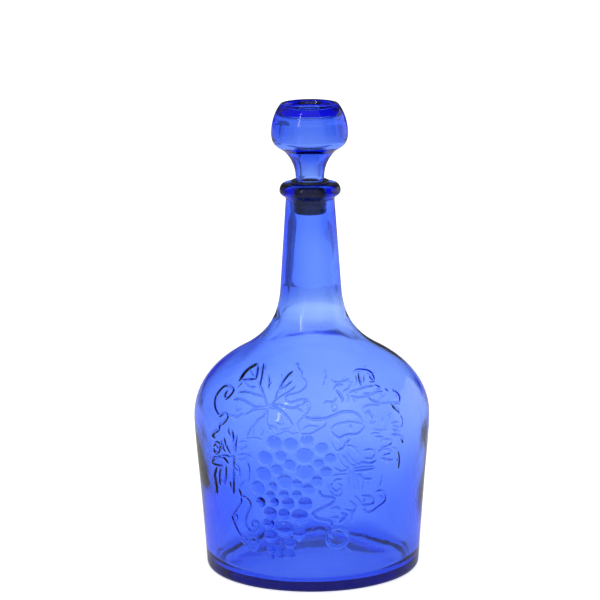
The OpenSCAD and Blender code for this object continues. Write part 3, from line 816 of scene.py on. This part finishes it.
def plastic(name):
    material, tree, shader, _ = node_tree(name)
    place = tree.nodes.new("ShaderNodeTexCoord")
    grain = add(tree, "ShaderNodeTexNoise", Scale=900.0, Detail=3.0)
    colour = tree.nodes.new("ShaderNodeValToRGB")
    colour.color_ramp.elements[0].color = (0.012, 0.012, 0.02, 1)
    colour.color_ramp.elements[1].color = (0.045, 0.045, 0.06, 1)
    rough = add(tree, "ShaderNodeMapRange", To_Min=0.18, To_Max=0.34)
    bump = add(tree, "ShaderNodeBump", Strength=0.2, Distance=0.0001)
    tree.links.new(place.outputs["Object"], grain.inputs["Vector"])
    tree.links.new(grain.outputs["Fac"], colour.inputs["Fac"])
    tree.links.new(grain.outputs["Fac"], rough.inputs["Value"])
    tree.links.new(grain.outputs["Fac"], bump.inputs["Height"])
    tree.links.new(colour.outputs["Color"], shader.inputs["Base Color"])
    tree.links.new(rough.outputs["Result"], shader.inputs["Roughness"])
    tree.links.new(bump.outputs["Normal"], shader.inputs["Normal"])
    return material


def stage_plane(name, corners, material, reach):
    """A flat part of the studio, for those ways of being seen that reach names."""
    mesh = bpy.data.meshes.new(name)
    mesh.from_pydata(corners, [], [(0, 1, 2, 3)])
    mesh.materials.append(material)
    obj = bpy.data.objects.new(name, mesh)
    obj.visible_camera, obj.visible_transmission = "direct" in reach, "through" in reach
    obj.visible_glossy = obj.visible_diffuse = "mirrored" in reach
    bpy.context.scene.collection.objects.link(obj)


def pale_floor(name, glow, corners, reach):
    """A floor of faintly uneven gloss; glow is its light before, at and far behind GLOW_STEP."""
    material, tree, shader, _ = node_tree(name)
    place = tree.nodes.new("ShaderNodeTexCoord")
    grain = add(tree, "ShaderNodeTexNoise", Scale=8.0, Detail=5.0)
    rough = add(tree, "ShaderNodeMapRange", To_Min=0.6, To_Max=0.8)
    parts = tree.nodes.new("ShaderNodeSeparateXYZ")
    along = add(tree, "ShaderNodeMapRange", From_Min=GLOW_STEP, From_Max=GLOW_END)
    light = tree.nodes.new("ShaderNodeValToRGB")
    stops = light.color_ramp.elements
    stops[0].position, stops[1].position = 0.0, 1.0
    for stop, level in zip((stops[0], stops.new(0.005), stops[-1]), glow):
        stop.color = (level, level, level, 1)
    shader.inputs["Base Color"].default_value = (0.92, 0.92, 0.93, 1)
    shader.inputs["Emission Strength"].default_value = FAR_GLOW
    tree.links.new(place.outputs["Object"], grain.inputs["Vector"])
    tree.links.new(place.outputs["Object"], parts.inputs["Vector"])
    tree.links.new(parts.outputs["Y"], along.inputs["Value"])
    tree.links.new(along.outputs["Result"], light.inputs["Fac"])
    tree.links.new(light.outputs["Color"], shader.inputs["Emission Color"])
    tree.links.new(grain.outputs["Fac"], rough.inputs["Value"])
    tree.links.new(rough.outputs["Result"], shader.inputs["Roughness"])
    stage_plane(name, corners, material, reach)


def glowing(name, strength):
    material, tree, _, output = node_tree(name)
    glow = add(tree, "ShaderNodeEmission", Color=(1, 1, 1, 1), Strength=strength)
    tree.links.new(glow.outputs["Emission"], output.inputs["Surface"])
    return material


def upright(name, strength, start, end, top, reach):
    """A glowing upright sheet from one point of the floor to another."""
    corners = [(*start, 0), (*end, 0), (*end, top), (*start, top)]
    stage_plane(name, corners, glowing(name, strength), reach)


def square(reach, z):
    return [(-reach, -reach, z), (reach, -reach, z), (reach, reach, z), (-reach, reach, z)]


def surroundings():
    left, right, far = VIEW_LEFT, VIEW_RIGHT, VIEW_FAR
    inner = [(x, y, FLOOR_LOW) for x, y in
             ((left, VIEW_NEAR), (right, VIEW_NEAR), (right, far), (left, far))]
    pale_floor("floor_in_view", FLOOR_GLOW, inner, "direct through")
    pale_floor("floor_around", SIDE_FLOOR_GLOW, square(FLOOR_REACH, AROUND_LOW), "through mirrored")
    ends = (left, far - SEAM), (right, far - SEAM)
    upright("backdrop", BACKDROP_GLOW, *ends, BACKDROP_TOP, "direct through")
    ends = (-FLOOR_REACH, far + WALL_BEHIND), (FLOOR_REACH, far + WALL_BEHIND)
    upright("lit_wall", WALL_GLOW, *ends, WALL_TOP, "direct through")
    upright("right_card", CARD_GLOW, (right, CARD_NEAR), (right, far), CARD_TOP, "through mirrored")
    pale_room()


def pale_room():
    """The plain pale floor and walls that stand around the bottle in every other view."""
    stage_plane("floor_shown", square(FLOOR_REACH, ROOM_LOW), glowing("floor_shown", ROOM_GLOW), "direct")
    corners = square(FLOOR_REACH - SEAM, 0)
    for i, name in enumerate(("wall_near", "wall_right", "wall_far", "wall_left")):
        start, end = corners[i][:2], corners[(i + 1) % 4][:2]
        upright(name, ROOM_GLOW, start, end, WALL_TOP, "direct")
    for name, i, glow in (("glow_near", 0, NEAR_GLOW), ("glow_left", 3, LEFT_GLOW)):
        start, end = corners[i][:2], corners[(i + 1) % 4][:2]
        upright(name, glow, start, end, WALL_TOP, "through mirrored")


def soft_light(name, watts, size, place, target, seen):
    data = bpy.data.lights.new(name, "AREA")
    data.shape, data.size, data.size_y, data.energy = "RECTANGLE", size[0], size[1], watts
    obj = bpy.data.objects.new(name, data)
    obj.location = place
    aim = Vector(target) - Vector(place)
    obj.rotation_euler = aim.to_track_quat("-Z", "Y").to_euler()
    obj.visible_glossy = obj.visible_transmission = seen
    bpy.context.scene.collection.objects.link(obj)


def studio():
    world = bpy.data.worlds.new("studio")
    world.use_nodes = True
    world.node_tree.nodes["Background"].inputs["Color"].default_value = (1, 1, 1, 1)
    world.node_tree.nodes["Background"].inputs["Strength"].default_value = WORLD_STRENGTH
    bpy.context.scene.world = world
    surroundings()
    soft_light("key", *KEY_LIGHT, True)
    soft_light("top", *TOP_LIGHT, False)


def camera():
    data = bpy.data.cameras.new("camera")
    data.sensor_width, data.lens, data.clip_end = SENSOR, LENS, CLIP_END
    obj = bpy.data.objects.new("camera", data)
    turn = Euler((math.radians(90 - CAMERA_DOWN), 0, math.radians(CAMERA_TURN))).to_matrix()
    turn = turn @ Matrix.Rotation(math.radians(CAMERA_ROLL), 3, "Z")
    obj.matrix_world = Matrix.Translation(CAMERA_PLACE) @ turn.to_4x4()
    bpy.context.scene.collection.objects.link(obj)
    bpy.context.scene.camera = obj


def stopper_mesh():
    """The knob's outside and its hollow, joined by the ring at the peg's end."""
    verts, faces = turned(divide(knob_section()), STOPPER_COLUMNS)
    inner_verts, inner_faces = turned(divide(hollow_section()), STOPPER_COLUMNS)
    mouth, end = len(verts), len(verts) + len(inner_verts) - STOPPER_COLUMNS
    faces += [tuple(v + mouth for v in f) for f in inner_faces]
    for i in range(STOPPER_COLUMNS):
        k = (i + 1) % STOPPER_COLUMNS
        faces.append((end + i, end + k, k, i))
    return swirl(np.concatenate([verts, inner_verts])), faces


def render_settings(scene):
    scene.view_settings.view_transform = "Standard"
    scene.cycles.max_bounces = 32
    scene.cycles.transmission_bounces = 28
    scene.cycles.glossy_bounces = 12


def main():
    render_settings(bpy.context.scene)
    blue, black = glass("cobalt_glass"), plastic("sleeve_plastic")
    add_object("bottle_glass", *bottle_mesh(), blue, "bottle_body", "bottle", "cobalt_glass")
    add_object("stopper_glass", *stopper_mesh(), blue, "stopper", "stopper_knob", "cobalt_glass")
    sleeve = turned(divide(sleeve_section()), STOPPER_COLUMNS)
    add_object("stopper_sleeve_skin", *sleeve, black, "stopper", "stopper_sleeve", "sleeve_plastic")
    studio()
    camera()


main()
